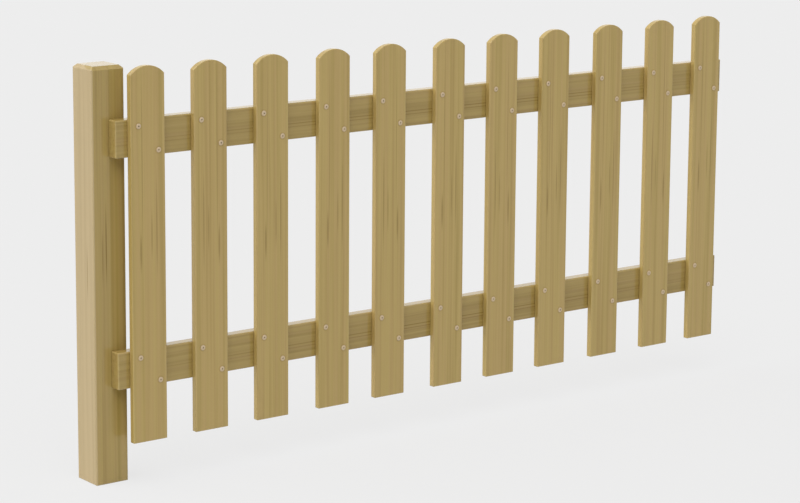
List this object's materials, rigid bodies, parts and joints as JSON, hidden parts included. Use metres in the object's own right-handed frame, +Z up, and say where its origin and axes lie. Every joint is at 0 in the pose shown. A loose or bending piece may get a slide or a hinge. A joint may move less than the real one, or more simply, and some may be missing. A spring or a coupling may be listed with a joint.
{
  "type": "picket fence bay with post",
  "caption": "Low timber safety fence bay: a square bevelled post carries horizontal rails faced with domed upright pickets, and further bays join on at the rail ends.",
  "frame": {"origin": "centre of the post's foot, on the ground", "axes": "+Z up, +X along the fence from the post towards the far ends of the rails, -Y is the side the pickets face"},
  "size_m": [2.045, 0.14, 1.033],
  "materials": {
    "post_timber": "planed pressure-treated softwood, matt",
    "rail_timber": "planed pressure-treated softwood, matt",
    "picket_timber": "planed pressure-treated softwood, matt",
    "screws": "dull zinc-coated screw heads"
  },
  "bodies": {
    "root": {"post": "post_timber", "top_rail": "rail_timber", "bottom_rail": "rail_timber", "picket_01": "picket_timber", "picket_02": "picket_timber", "picket_03": "picket_timber", "picket_04": "picket_timber", "picket_05": "picket_timber", "picket_06": "picket_timber", "picket_07": "picket_timber", "picket_08": "picket_timber", "picket_09": "picket_timber", "picket_10": "picket_timber", "picket_11": "picket_timber"}
  },
  "joints": []
}
